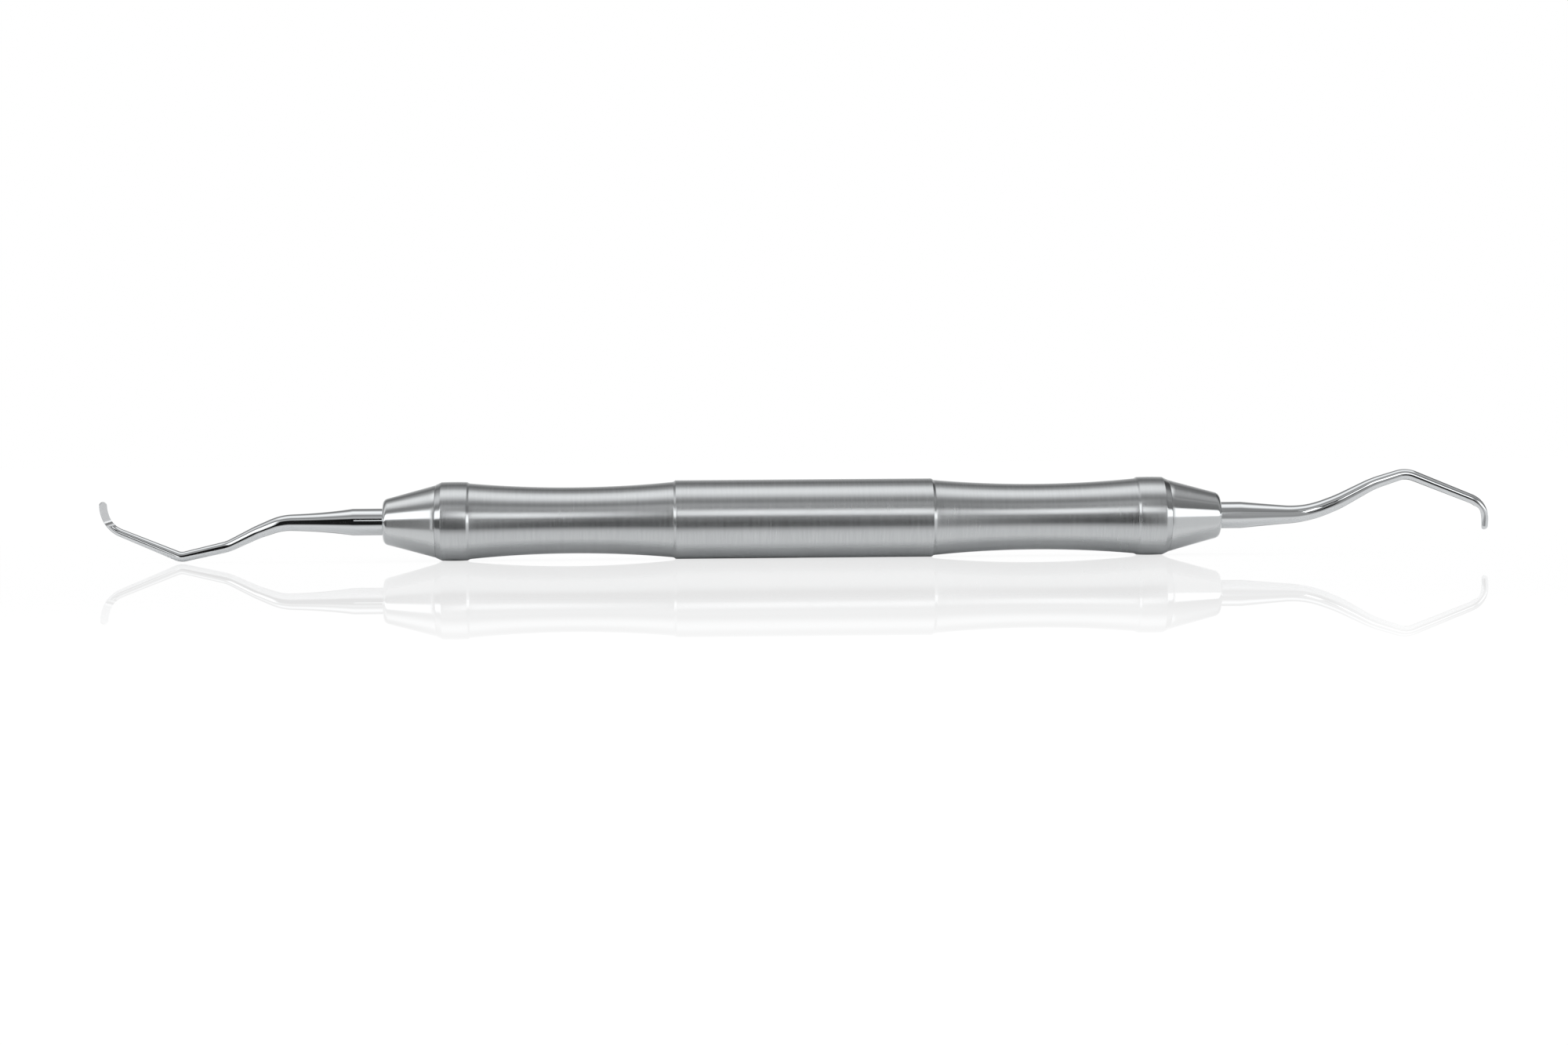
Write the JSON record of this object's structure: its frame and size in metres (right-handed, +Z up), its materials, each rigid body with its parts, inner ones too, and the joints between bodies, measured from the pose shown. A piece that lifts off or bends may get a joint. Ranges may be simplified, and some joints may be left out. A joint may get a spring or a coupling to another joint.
{
  "type": "hand scaler",
  "caption": "Double-ended dental hand scaler: hollow waisted steel handle, a cone at each end, and a bent polished shank with a small spoon blade in each cone.",
  "frame": {"origin": "on the handle's axis, at the middle of the handle", "axes": "+X along the handle towards the right working end, +Z up, the left blade's face turned towards -Y"},
  "size_m": [0.177, 0.01, 0.0107],
  "materials": {
    "satin_steel": "satin, brushed round the handle",
    "bright_turned_steel": "fine turned, semi-bright",
    "polished_steel": "mirror polished"
  },
  "bodies": {
    "root": {"handle_tube": "satin_steel", "cone_left": "bright_turned_steel", "cone_right": "bright_turned_steel", "working_end_left": "polished_steel", "working_end_right": "polished_steel"}
  },
  "joints": []
}
